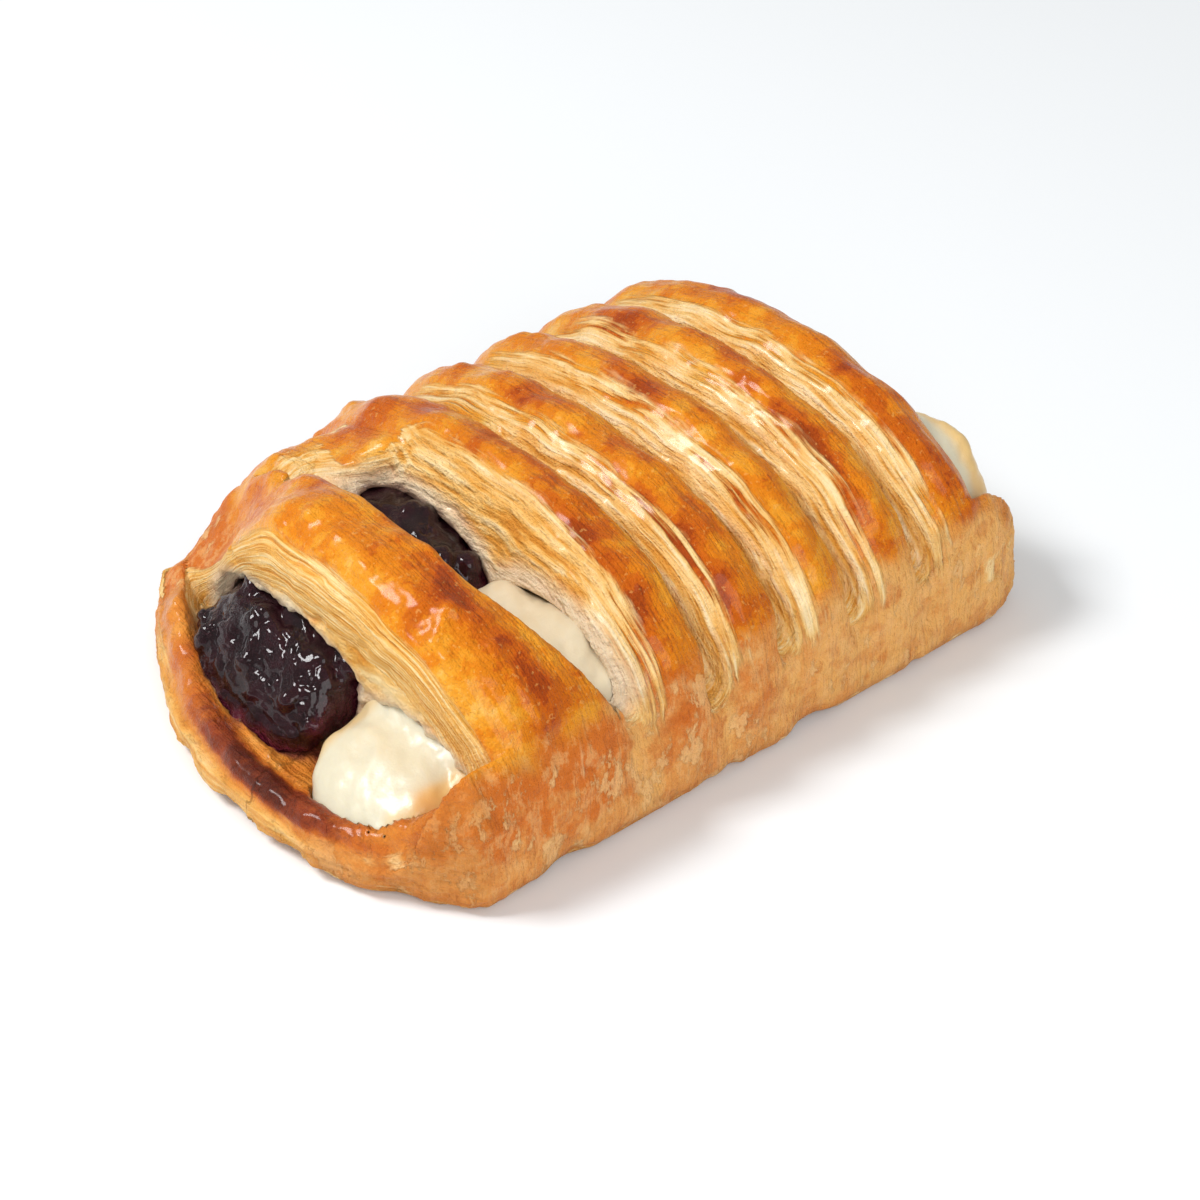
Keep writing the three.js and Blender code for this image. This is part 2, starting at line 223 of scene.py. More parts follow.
def log_at(log, x, y, z):
    """Distance outside a filling: a log with rounded noses, flatter below than above"""
    near_tip, far_tip, near_run, far_run, power, along = log.values()
    place = np.array(along, float)
    fine = np.linspace(-60, 60, 481)
    spot = np.clip(np.searchsorted(place[:, 0], fine), 1, len(place) - 1)
    t = smooth(place[spot - 1, 0], place[spot, 0], fine)
    middle, half, top = (np.interp(x, fine, mix(place[spot - 1, n], place[spot, n], t)) for n in (1, 2, 3))
    share = np.maximum(1 - (x - near_tip) / near_run, 1 - (far_tip - x) / far_run)
    share = np.clip(share, 0, 1)
    width = half * (1 - share**power) ** (1 / power) + 1e-3
    tall = (top - floor_height) / 2 * np.sqrt(1 - share**2) + 1e-3
    across, up = y - middle, z - floor_height - tall
    bend = np.where(up < 0, 4, 2.4)
    reach = np.hypot(across, up) + 1e-6
    rho = ((np.abs(across) / width) ** bend + (np.abs(up) / tall) ** bend) ** (1 / bend) + 1e-6
    return np.maximum(reach * (1 - 1 / rho), np.maximum(near_tip - x, x - far_tip))


# a filling's tips, how far each nose takes to its full width and how square it is, and places along
# it: x, the middle in y, half the width, and the top
cream_log = dict(
    near_tip=-53.2,
    far_tip=57.2,
    near_run=12,
    far_run=5,
    power=2.6,
    along=[(-60, -21, 12, 13), (-42, -20.5, 12, 14), (-29, -20.5, 14, 22.5), (-18, -20.5, 14.5, 24.5),
           (-8, -20, 13, 18), (36, -21, 12, 18), (50, -23.5, 9.8, 25.5), (60, -23.5, 9.8, 25.5)],
)
berry_log = dict(
    near_tip=-49.8,
    far_tip=54,
    near_run=6,
    far_run=10,
    power=2.4,
    along=[(-60, 5, 12, 8.8), (-50.5, 5.5, 12.5, 10), (-40.5, 7.5, 14.5, 18.5), (-29, 8, 16.5, 25),
           (-18, 8, 16.5, 26), (-8, 8, 16, 19.5), (40, 8, 16, 19.5), (60, 6, 13, 18.5)],
)
clearance = 0.3


def soft_max(a, b, k):
    h = np.clip(0.5 + 0.5 * (a - b) / k, 0, 1)
    return mix(b, a, h) + k * h * (1 - h)


def lower_half(x, y, z):
    """The flanks below their widest place, with the seam's ledge and the turned-up tips"""
    nose_inset = np.where(x < 0, inset(near_nose, x, y, seam_reach), inset(far_nose, x, y, seam_reach))
    ledge = mix(0.3, 1, smooth(-42, -25, x))
    seam_foot = -ledge * np.interp(z, [0, 0.9, 2.6, 5.2, 6.4, 8.5], [-0.6, 1.2, 1.8, 1.7, -0.7, 0])
    fold_foot = np.interp(z, [0, 0.5, 1.8, 4.4], [2.2, 0.8, 0.15, 0])
    share = 1 - np.clip(np.where(x < 0, x + 58, 58 - x) / 6, 0, 1)
    under = 2 * share * (1 - np.clip(z / 3, 0, 1)) ** 2
    return np.maximum(-z, np.where(y < -8, fold_foot, seam_foot) + under - nose_inset)


def dough_at(x, y, z):
    above, drop = top_of(x, y, z)[:2]
    body = np.where(z >= widest, above + drop, lower_half(x, y, z))
    fillings = np.minimum(log_at(cream_log, x, y, z), log_at(berry_log, x, y, z))
    parts = []
    for nose, rim, wall in ((near_nose, near_rim, front_wall), (far_nose, far_rim, back_wall)):
        inward = nose[1]
        lean = 1.8 * (1 - smooth(16, 30, z)) - 1.2 * (y / 44.5) ** 4
        # the cut end is hollowed a little above the fillings, where the sheet lifted off them
        cave = 1.0 * (1 - smooth(0, 3, fillings)) * smooth(9, 13, z)
        beyond = (wall + inward * (cave + lean) - x) * inward
        tray = (z - tray_top(nose, rim, wall, x, y)) * 0.8
        parts.append((beyond, np.maximum(body, tray)))
    solid = body
    for beyond, tray in parts:
        solid = np.minimum(soft_max(solid, beyond, 6), tray)
    near, far, lean = gap_sides(y)
    bottom = gap_bottom + 12 * smooth(7, 18, y)
    sides = np.maximum(near - x, x - far - lean * (z - gap_bottom))
    gap = np.maximum(np.maximum(sides, bottom - z), np.maximum(y - gap_seam, gap_fold - y))
    # its near edge is sharp and its far edge is rounded over
    solid = soft_max(solid, -gap, mix(0.7, 5, smooth(0.4, 0.9, (x - near) / np.maximum(far - near, 4))))
    return np.maximum(solid, -(fillings + clearance))


def skin_of(field, low, step):
    """Points and four-sided faces of the surface where a sampled field passes through nought"""
    inside = field < 0
    size = np.array(field.shape)
    corners = np.array([(i, j, k) for i in (0, 1) for j in (0, 1) for k in (0, 1)])
    count = np.zeros(size - 1, np.int8)
    for i, j, k in corners:
        count += inside[i : size[0] - 1 + i, j : size[1] - 1 + j, k : size[2] - 1 + k]
    cells = np.argwhere((count > 0) & (count < 8))
    ids = np.full(size - 1, -1, np.int32)
    ids[tuple(cells.T)] = np.arange(len(cells))
    values = [field[tuple((cells + c).T)] for c in corners]
    total, hits = np.zeros((len(cells), 3)), np.zeros(len(cells))
    for a in range(8):
        for b in range(a + 1, 8):
            if np.abs(corners[a] - corners[b]).sum() == 1:
                crosses = (values[a] < 0) != (values[b] < 0)
                t = np.where(crosses, values[a] / np.where(crosses, values[a] - values[b], 1), 0)
                total += crosses[:, None] * (corners[a] + t[:, None] * (corners[b] - corners[a]))
                hits += crosses
    faces = []
    for axis in range(3):
        first, last = [slice(1, -1)] * 3, [slice(1, -1)] * 3
        first[axis], last[axis] = slice(0, -1), slice(1, None)
        start, end = inside[tuple(first)], inside[tuple(last)]
        flips = np.argwhere(start != end)
        outward = start[tuple(flips.T)]
        flips = flips + 1
        flips[:, axis] -= 1
        shift = np.eye(3, dtype=int)
        u, v = shift[(axis + 1) % 3], shift[(axis + 2) % 3]
        quad = np.stack([ids[tuple((flips - s).T)] for s in (0 * u, u, u + v, v)], 1)
        quad[~outward] = quad[~outward][:, ::-1]
        faces.append(quad)
    return low + step * (cells + total / hits[:, None]), np.concatenate(faces)


def grid_of(low, high, step):
    axes = [np.arange(a, b, step, dtype=np.float32) for a, b in zip(low, high)]
    return axes[0][:, None, None], axes[1][None, :, None], axes[2][None, None, :]


def normals_of(points, faces):
    a, b, c, d = (points[faces[:, n]] for n in range(4))
    across = np.cross(c - a, d - b)
    total = np.zeros_like(points)
    for n in range(3):
        for corner in range(4):
            total[:, n] += np.bincount(faces[:, corner], across[:, n], len(points))
    return total / (np.linalg.norm(total, axis=1)[:, None] + 1e-9)


def relax(points, faces, rounds, share=0.5):
    """Draws each point towards the mean of its neighbours"""
    for _ in range(rounds):
        total, count = np.zeros_like(points), np.zeros(len(points))
        for a, b in ((0, 1), (1, 2), (2, 3), (3, 0)):
            for one, other in ((a, b), (b, a)):
                for n in range(3):
                    total[:, n] += np.bincount(faces[:, one], points[faces[:, other], n], len(points))
                count += np.bincount(faces[:, one], minlength=len(points))
        points = mix(points, total / count[:, None], share)
    return points


def make_piece(name, points, faces, attributes, material):
    """A mesh object, in metres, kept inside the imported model's box"""
    low, high = np.array(cad_box[0]), np.array(cad_box[1])
    mesh = bpy.data.meshes.new(name)
    mesh.from_pydata(np.clip(points * 0.001, low, high), [], faces)
    for key, values in attributes.items():
        vector = values.ndim == 2
        layer = mesh.attributes.new(key, "FLOAT_VECTOR" if vector else "FLOAT", "POINT")
        layer.data.foreach_set("vector" if vector else "value", values.astype(np.float32).ravel())
    mesh.shade_smooth()
    mesh.materials.append(material)
    made = bpy.data.objects.new(name, mesh)
    bpy.context.scene.collection.objects.link(made)
    return made


step = 0.42
low = np.array([-59.5, -42, -1.5])
gx, gy, gz = grid_of(low, (59.5, 42.4, 38.5), step)
points, faces = skin_of(np.broadcast_to(dough_at(gx, gy, gz), (gx.size, gy.size, gz.size)), low, step)
points = relax(points, faces, 1, 0.3)
normals = normals_of(points, faces)
x, y, z = points.T

above, drop, arc, xw, crown = top_of(x, y, z)
berry_gap = log_at(berry_log, x, y, z)
cream_gap = log_at(cream_log, x, y, z)
filling_gap = np.minimum(berry_gap, cream_gap)
near_inset = inset(near_nose, x, y, half_width)
far_inset = inset(far_nose, x, y, half_width)
outline_inset = np.where(x < 0, near_inset, far_inset)
# the glazed upper side of each tray, outside the cut ends
tray = np.maximum(smooth(front_wall - 1, front_wall - 3, x), smooth(back_wall + 1, back_wall + 3, x))
tray = tray * smooth(0.1, 0.45, normals[:, 2]) * smooth(0.2, 1.2, outline_inset) * (1 - smooth(16, 22, z))
rim_side = np.maximum(smooth(-40, -44, x), smooth(50, 54, x)) * (1 - smooth(-0.1, 0.35, normals[:, 2]))
rim_side = rim_side * smooth(3.5, 1, outline_inset) * smooth(-1.01, -0.7, normals[:, 2])
depth = np.where(z >= widest, -above, outline_inset * 0.8)
depth = np.where((np.abs(x - 3) > 45) & (z < 22), np.minimum(depth, outline_inset * 0.8), depth)
depth = np.clip(depth, 0, 12) * (1 - tray)
under = smooth(-0.5, -0.85, normals[:, 2]) * smooth(2, 0.5, z)
crust = (1 - smooth(0.5, 1.4, depth)) * (1 - under)
# matt and pale low down on the sides, where the egg wash doesn't reach
flank = 1 - smooth(15, 25, z + 1.2 * noise(x, y, z, 5, 2, seed=4))

# relief, in millimetres along the surface's normal: low wrinkles all over, fine ridges along the
# strips and blisters on the glaze
rng = np.random.default_rng(11)
streaks = noise(1.0 * xw, 0.1 * arc, 0.12 * z, 1.15, 2, seed=6)
lift = 0.2 * noise(x, y, z, 4.5, 3, seed=5) * crust
lift += 0.14 * streaks * crust * smooth(14, 24, z)
glazed = np.flatnonzero((crust > 0.7) & (z > 12) & (tray < 0.1))
blisters = 420
for at in points[rng.choice(glazed, blisters)]:
    puffed = at[0] < -28 or (at[0] < -5 and at[1] > 3)
    size = rng.uniform(0.5, 1.5) * (1.35 if puffed else 1)
    apart = ((points - at) ** 2).sum(1)
    close = apart < 9 * size * size
    height = rng.uniform(0.08, 0.2) * size * (1.5 if puffed else 1)
    lift[close] += height * np.exp(-apart[close] / (size * size)) * crust[close]
# the matt flanks are rough, with small pits here and there
lift += 0.22 * noise(x, y, z, 3, 3, seed=21) * flank * crust
pits = smooth(0.45, 0.7, noise(x, y, z, 1.6, 1, seed=22)) * smooth(0, 0.4, noise(x, y, z, 12, 1, seed=23))
lift -= 0.15 * pits * flank * crust
# the slits run on down the fold's flank as soft hollows
strayed = xw + 1.6 * noise(x, y, z, 5, 3, seed=27)
below = np.exp(-(((strayed + 17.5) / 3.2) ** 2))
for start, ramp, *_ in slits[1:]:
    below = np.maximum(below, np.exp(-(((strayed - start - 0.5 * ramp) / 2.8) ** 2)))
below = below * smooth(22, 14, z) * smooth(-30, -36, y) * smooth(-30, -20, x)
lift -= 1.1 * below * smooth(2, 8, z)
# the layers are torn into terraces in the slits and on the cut ends, with crumb over the fillings
layers = depth + 0.35 * noise(x, 0.3 * y, z, 9, 2, seed=7)
terraces = np.abs((layers / 1.25) % 1 - 0.5) * 2
fine_layers = np.abs((layers / 0.62 + 0.3) % 1 - 0.5) * 2
torn = smooth(0.6, 1.4, depth) * (1 - smooth(0.4, 1.6, 1.2 - filling_gap)) * (1 - under)
lift += torn * (0.15 * (terraces - 0.5) + 0.07 * (fine_layers - 0.5) + 0.16 * noise(x, y, z, 2.2, 2, seed=8))
crumb = (1 - smooth(1.0, 4.0, filling_gap)) * (x < -38) * smooth(0.5, 1.2, depth) * (1 - tray)
lift += crumb * 0.7 * noise(x, y, z, 1.8, 2, seed=20)
holes = smooth(0.42, 0.7, noise(x, 0.5 * y, z, 1.5, 1, seed=9)) * torn
lift -= 0.5 * holes * smooth(-0.2, 0.2, noise(x, y, z, 9, 1, seed=10))
# thin scales of crust stand up from the flanks, and the near rim's outer side shows its layers
scales = smooth(0.2, 0.3, noise(x, y, z, 3.6, 3, seed=12)) * flank * crust * mix(0.3, 1, smooth(14, -8, x))
lift += 0.12 * scales - 0.05 * flank * crust
# the foot is uneven all round, where it baked on a sheet
foot = smooth(7, 1.5, z) * smooth(0.4, -0.1, normals[:, 2]) * (1 - tray)
lift -= 1.1 * foot * smooth(-0.15, 0.8, noise(x, y, 0 * z, 6.5, 2, seed=26))
rings = np.abs(((z + 0.6 * noise(x, y, z, 8, 2, seed=13)) / 1.1) % 1 - 0.5) * 2
lift += rim_side * (0.32 * (rings - 0.5) + 0.2 * noise(x, y, z, 2.5, 2, seed=14))
lift += tray * (0.22 * noise(x, y, z, 3.2, 3, seed=15))
# diagonal folds and cracks on the flank's far end
crack = np.abs(noise(0.35 * (x + z), 0.4 * y, 0.9 * (z - x), 3.2, 2, seed=16))
lift -= 0.25 * (1 - smooth(0.02, 0.2, crack)) * flank * crust * smooth(24, 36, x) * smooth(2, 5, z)
points = points + normals * lift[:, None]

# browning: more on crests and near shoulders, with the patches where the real one is darkest,
# each a place on the top in x and y, how far it spreads along them, and how strong it is
patches = [
    (-32, -20, 2.2, 9, 0.55), (-31, -33, 2.4, 6, 0.6), (-37, 14, 2.5, 6, 0.15), (-33, 20, 3, 3, 0.25),
    (-13, 21, 3.5, 4, 0.5), (-8.3, 17, 2.5, 4, 0.5), (-15, 25, 3, 4, 0.4), (-7, 2, 2, 7, 0.45),
    (-11.8, -17, 3.2, 8, 0.5), (-11.5, -27, 3.5, 7, 0.5), (-13.2, -35, 4, 6, 0.5), (-7.2, -12, 1.8, 9, 0.35),
    (2, 8, 2.4, 4, 0.45), (4.7, 3, 2.4, 5, 0.4), (-0.3, -20, 1.8, 9, 0.55), (0.6, -30, 2.5, 7, 0.45),
    (6, -24, 1.6, 9, 0.3), (15, -2, 2, 6, 0.4), (12.9, -21, 1.6, 9, 0.5), (12.4, -29, 2, 7, 0.45),
    (18.5, -12, 1.6, 8, 0.25), (29, 14, 3, 4, 0.5), (26.2, 17, 3, 4, 0.4), (27.5, -21, 2, 9, 0.5),
    (26.5, -30, 2.2, 8, 0.45), (31.5, -8, 1.5, 9, 0.25), (46, 9, 2.5, 6, 0.45), (46.5, -2, 2, 6, 0.4),
    (42.5, -15, 2.2, 5, 0.45), (40.8, -22, 2, 5, 0.3), (42.5, -33, 3.5, 5, 0.4), (47.5, -20, 1.6, 9, 0.35),
]
bake = 0.24 + 0.12 * crown + 0.10 * noise(x, y, z, 8, 2, seed=17)
for px, py, rx, ry, strength in patches:
    bake += strength * 0.62 * np.exp(-(((x - px) / rx) ** 2) - ((y - py) / ry) ** 2) * smooth(8, 20, z)
bake = np.clip(bake, 0, 1)
# dark band on the near rim's inner side, and the browned lower edge of the far end
band = smooth(0.4, 1.6, near_inset) * (1 - smooth(4.2, 6.4, near_inset)) * smooth(-40, -46, x) * tray
band = band * np.exp(-(((y + 7) / 19) ** 2))
far_edge = smooth(46, 54, x) * smooth(6, 1.5, z)
stain_reach = berry_gap + 0.8 * noise(x, y, z, 2.4, 2, seed=18)
stain = (1 - smooth(0.2, 3.0, stain_reach)) * np.maximum(tray * smooth(14, 9, z), 0.0)
stain = np.maximum(stain, 0.75 * (1 - smooth(0.1, 1.3, stain_reach)) * (1 - tray))
# the layers also show on each strip's near shoulder, in streaks
shoulder = 0 * x
for start, ramp, *_ in slits:
    past = xw - start - ramp + 0.5 * noise(x, 0.4 * y, z, 4, 2, seed=24)
    shoulder = np.maximum(shoulder, smooth(3.4, 0.1, past) * smooth(-3.5, -1.5, past))
shoulder = shoulder * smooth(10, 18, z) * (1 - tray) * smooth(32, 26, y)
bared = depth + 1.05 * shoulder - 1.3 * smooth(-32, -36, x) * smooth(8, 14, z)
# the wall over the gap is golden high up, and glazed towards the seam
first_wall = smooth(-27, -23, x) * smooth(-11, -15, x)
bared -= 3.5 * smooth(13, 19, y + noise(x, y, z, 4, 2, seed=25)) * first_wall * smooth(27, 29, z)
gold = first_wall * smooth(25, 31, z)
# so is the near mouth's wall, away from the fillings
near_wall = smooth(-36, -39, x) * (1 - tray) * (1 - under)
gold = np.maximum(gold, near_wall * smooth(1.5, 6, filling_gap + 1.5 * noise(x, y, z, 4, 2, seed=28)))
rim = smooth(-45, -48, x) * smooth(2.8, 1.2, near_inset) * (1 - under) * smooth(-24, -14, y)
# the crumb is moist and pale beside the fillings, but not right through to the outside
moist = (1 - smooth(1.2, 5.0, filling_gap + 0.5 * noise(x, y, z, 3, 2, seed=19))) * (1 - tray)
moist = moist * np.maximum(smooth(1.5, 3.5, outline_inset), smooth(14, 20, z))


def linear(colour):
    """A hex colour as the linear RGBA a shader takes"""
    parts = [int(colour[n : n + 2], 16) / 255 for n in (0, 2, 4)]
    return [c / 12.92 if c < 0.04045 else ((c + 0.055) / 1.055) ** 2.4 for c in parts] + [1]


def add(tree, kind, feeds, out=0, **settings):
    """Adds a shader node, sets and feeds its inputs, and gives back one of its outputs"""
    made = tree.nodes.new("ShaderNode" + kind)
    for key, value in settings.items():
        setattr(made, key, value)
    for key, value in feeds.items():
        if isinstance(value, bpy.types.NodeSocket):
            tree.links.new(value, made.inputs[key])
        else:
            made.inputs[key].default_value = value
    return made.outputs[out]


def blend(tree, share, a, b, way="MIX"):
    a, b = (linear(c) if isinstance(c, str) else c for c in (a, b))
    return add(tree, "Mix", {0: share, 6: a, 7: b}, 2, data_type="RGBA", blend_type=way)


def calc(tree, way, *values):
    return add(tree, "Math", dict(enumerate(values)), operation=way)


def stray(tree, value, grained, amount):
    """A value pushed up and down by a grain"""
    return calc(tree, "MULTIPLY_ADD", calc(tree, "SUBTRACT", grained, 0.5), amount, value)


def between(tree, value, low, high, to_low=0.0, to_high=1.0):
    feeds = {"Value": value, "From Min": low, "From Max": high, "To Min": to_low, "To Max": to_high}
    return add(tree, "MapRange", feeds, "Result", interpolation_type="SMOOTHSTEP")


def carried(tree, name, out="Fac"):
    return add(tree, "Attribute", {}, out, attribute_name=name)


def grain(tree, where, scale, detail=2.0, rough=0.5, stretch=None):
    if stretch:
        where = add(tree, "VectorMath", {0: where, 1: stretch}, operation="MULTIPLY")
    feeds = {"Vector": where, "Scale": scale, "Detail": detail, "Roughness": rough}
    return add(tree, "TexNoise", feeds, "Fac")


def ramp(tree, value, stops):
    made = tree.nodes.new("ShaderNodeValToRGB")
    tree.links.new(value, made.inputs[0])
    band = made.color_ramp
    while len(band.elements) < len(stops):
        band.elements.new(0.5)
    for element, (place, colour) in zip(band.elements, stops):
        element.position = place
        element.color = linear(colour)
    return made.outputs["Color"]


def surface(name, feeds):
    """A material with one Principled shader, whose inputs are fed by feeds(tree)"""
    made = bpy.data.materials.new(name)
    made.use_nodes = True
    tree = made.node_tree
    shader = tree.nodes["Principled BSDF"]
    for key, value in feeds(tree).items():
        if isinstance(value, bpy.types.NodeSocket):
            tree.links.new(value, shader.inputs[key])
        else:
            shader.inputs[key].default_value = value
    return made


# Soft mottling a few millimetres across, and fine pores, that the dough and both fillings share
pores = bpy.data.node_groups.new("pores", "ShaderNodeTree")
pores.interface.new_socket("Mottle", in_out="OUTPUT", socket_type="NodeSocketFloat")
pores.interface.new_socket("Fine", in_out="OUTPUT", socket_type="NodeSocketFloat")
inside_pores = add(pores, "TexCoord", {}, "Object")
mottle = grain(pores, inside_pores, 260, 5, 0.6)
fine = grain(pores, inside_pores, 1500, 3, 0.6)
ends = pores.nodes.new("NodeGroupOutput")
pores.links.new(mottle, ends.inputs["Mottle"])
pores.links.new(fine, ends.inputs["Fine"])


def dough_feeds(tree):
    sheet = carried(tree, "sheet", "Vector")
    bake, flank = carried(tree, "bake"), carried(tree, "flank")
    shared = tree.nodes.new("ShaderNodeGroup")
    shared.node_tree = pores
    mottle, fine = shared.outputs["Mottle"], shared.outputs["Fine"]
    place = add(tree, "TexCoord", {}, "Object")
    # glazed crust: gold to burnt orange, in patches with crisp edges
    patch = grain(tree, place, 190, 5, 0.55)
    spread = stray(tree, bake, patch, 0.8)
    spread = stray(tree, spread, mottle, 0.55)
    spread = stray(tree, spread, fine, 0.16)
    glaze = ramp(
        tree, spread,
        [(0.0, "efbd6a"), (0.17, "eaa840"), (0.20, "e79b2c"), (0.32, "e28f1e"), (0.35, "dc8014"),
         (0.47, "d5760e"), (0.50, "c9650b"), (0.64, "bd560a"), (0.68, "a64208"), (1.0, "7e2f08")],
    )
    speck = between(tree, grain(tree, place, 1300, 2, 0.5), 0.63, 0.69, 0.0, 0.3)
    glaze = blend(tree, speck, glaze, "f0b868")
    # flank: terracotta, tan under the slits, low down and further along, with pale scales
    along = add(tree, "SeparateXYZ", {0: sheet}, "X")
    far_tan = between(tree, stray(tree, along, patch, 80.0), -16.0, 28.0)
    far_tan = calc(tree, "MAXIMUM", far_tan, carried(tree, "below"))
    high = add(tree, "SeparateXYZ", {0: place}, "Z")
    low_down = stray(tree, high, patch, 0.03)
    far_tan = calc(tree, "MAXIMUM", far_tan, between(tree, low_down, 0.012, 0.005, 0.0, 0.6))
    matt = blend(tree, far_tan, "d0702a", "e6ab62")
    ragged = grain(tree, place, 1.0, 6, 0.72, stretch=(520, 420, 240))
    matt = blend(tree, between(tree, ragged, 0.48, 0.60, 0.0, 0.5), matt, "eab474")
    matt = blend(tree, between(tree, ragged, 0.34, 0.46, 0.5, 0.0), matt, "bc6226")
    matt = blend(tree, between(tree, mottle, 0.36, 0.5, 0.35, 0.0), matt, "b9581c")
    scale_edge = between(tree, along, -8.0, 16.0, 0.55, 0.58)
    scale_grain = grain(tree, place, 1.0, 6, 0.68, stretch=(300, 260, 150))
    scale_mask = between(tree, calc(tree, "SUBTRACT", scale_grain, scale_edge), 0.0, 0.045)
    matt = blend(tree, calc(tree, "MULTIPLY", scale_mask, 0.7), matt, blend(tree, fine, "e2a862", "f2c890"))
    foot = between(tree, high, 0.0035, 0.0006, 0.0, 0.5)
    matt = blend(tree, foot, matt, "a8561e")
    matt = blend(tree, between(tree, along, -40.0, -47.0, 0.0, 0.45), matt, "bd7636")
    colour = blend(tree, between(tree, flank, 0.25, 0.85), glaze, matt)
    # torn layers: pale yellow, with golden and whitish lines along the strip
    lines = grain(tree, sheet, 1.0, 3, 0.65, stretch=(0.30, 0.07, 2.6))
    ridges = grain(tree, sheet, 1.0, 3, 0.6, stretch=(1.3, 0.08, 0.6))
    finer = calc(tree, "MULTIPLY", carried(tree, "shoulder"), calc(tree, "SUBTRACT", ridges, lines))
    lines = calc(tree, "ADD", lines, finer)
    inner = ramp(
        tree, lines,
        [(0.35, "d89540"), (0.42, "e5aa58"), (0.48, "ecbe75"), (0.55, "f2cd8e"), (0.65, "f9e0b2")],
    )
    lightly = grain(tree, sheet, 1.0, 3, 0.6, stretch=(0.12, 0.12, 0.5))
    inner = blend(tree, between(tree, lightly, 0.48, 0.62, 0.0, 0.55), inner, "e39e42")
    contrast = calc(tree, "SUBTRACT", lines, 0.5)
    golden = calc(tree, "MAXIMUM", carried(tree, "gold"), between(tree, carried(tree, "bared"), 1.5, 0.5))
    gold_lines = ramp(tree, lines, [(0.36, "d28732"), (0.45, "e8a94e"), (0.53, "f2c070"), (0.63, "f8d898")])
    inner = blend(tree, calc(tree, "MULTIPLY", golden, 0.7), inner, gold_lines)
    wide = calc(tree, "MULTIPLY_ADD", carried(tree, "shoulder"), 2.6, 2.4)
    torn = between(tree, calc(tree, "MULTIPLY_ADD", contrast, wide, carried(tree, "bared")), 0.36, 0.98)
    colour = blend(tree, torn, colour, inner)
    moist = carried(tree, "moist")
    crumb_colour = blend(tree, mottle, "cfb69a", "f0e2ca")
    colour = blend(tree, calc(tree, "MULTIPLY", moist, 0.8), colour, crumb_colour)
    rim_colour = ramp(
        tree, grain(tree, place, 1.0, 4, 0.6, stretch=(90, 90, 900)),
        [(0.3, "c98238"), (0.45, "dfa050"), (0.55, "eab768"), (0.68, "f2cd8e")],
    )
    colour = blend(tree, calc(tree, "MULTIPLY", carried(tree, "rim"), 0.85), colour, rim_colour)
    # tray: amber, burnt maroon along the rim's band, and stained where the berries touch it
    burnt = calc(tree, "MULTIPLY_ADD", carried(tree, "band"), 0.68, 0.3)
    tray_colour = ramp(
        tree, stray(tree, burnt, patch, 1.0),
        [(0.0, "e8ac5a"), (0.3, "d98735"), (0.55, "bf6424"), (0.75, "8a3a20"), (1.0, "552019")],
    )
    colour = blend(tree, carried(tree, "tray"), colour, tray_colour)
    colour = blend(tree, carried(tree, "under"), colour, blend(tree, mottle, "b9763a", "d79a55"))
    colour = blend(tree, calc(tree, "MULTIPLY", carried(tree, "stain"), 0.85), colour, "5e2030")
    wet = calc(tree, "MAXIMUM", carried(tree, "tray"), carried(tree, "stain"))
    matt_share = calc(tree, "MAXIMUM", between(tree, flank, 0.2, 0.8), torn)
    matt_share = calc(tree, "MULTIPLY", matt_share, calc(tree, "SUBTRACT", 1.0, wet))
    rough = between(tree, matt_share, 0.0, 1.0, 0.38, 0.62)
    rough = stray(tree, rough, mottle, 0.5)
    coat = between(tree, matt_share, 0.0, 0.9, 0.3, 0.04)
    coat = calc(tree, "MAXIMUM", coat, calc(tree, "MULTIPLY", carried(tree, "shoulder"), 0.4))
    coat = calc(tree, "MAXIMUM", coat, calc(tree, "MULTIPLY", moist, 0.5))
    height = calc(tree, "MULTIPLY_ADD", fine, 1.3, calc(tree, "MULTIPLY", ridges, 1.7))
    height = calc(tree, "ADD", grain(tree, place, 650, 2, 0.5), height)
    height = calc(tree, "MULTIPLY_ADD", grain(tree, place, 3600, 1, 0.5), 0.45, height)
    height = calc(tree, "MULTIPLY_ADD", calc(tree, "MULTIPLY", lines, torn), 1.4, height)
    height = calc(tree, "MULTIPLY_ADD", calc(tree, "MULTIPLY", scale_mask, flank), 0.4, height)
    height = calc(tree, "MULTIPLY_ADD", mottle, 1.6, height)
    bump = add(tree, "Bump", {"Strength": 0.9, "Distance": 0.00038, "Height": height}, "Normal")
    return {
        "Base Color": colour,
        "Roughness": rough,
        "Coat Weight": coat,
        "Coat Roughness": 0.17,
        "Normal": bump,
        "Specular IOR Level": 0.3,
        "Specular Tint": linear("f2a850"),
        "Subsurface Weight": 0.06,
        "Subsurface Radius": (0.0035, 0.0016, 0.0007),
        "Subsurface Scale": 1.0,
    }


dough = make_piece(
    "danish_dough",
    points,
    faces,
    {"sheet": np.stack([xw, arc, layers], 1), "bake": bake, "flank": flank, "tray": tray,
     "shoulder": shoulder, "bared": bared, "gold": gold, "below": below, "rim": rim,
     "band": np.clip(band + far_edge, 0, 1), "stain": stain, "moist": moist, "under": under},
    surface("baked_dough", dough_feeds),
)
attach(dough, "root")
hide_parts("dough")


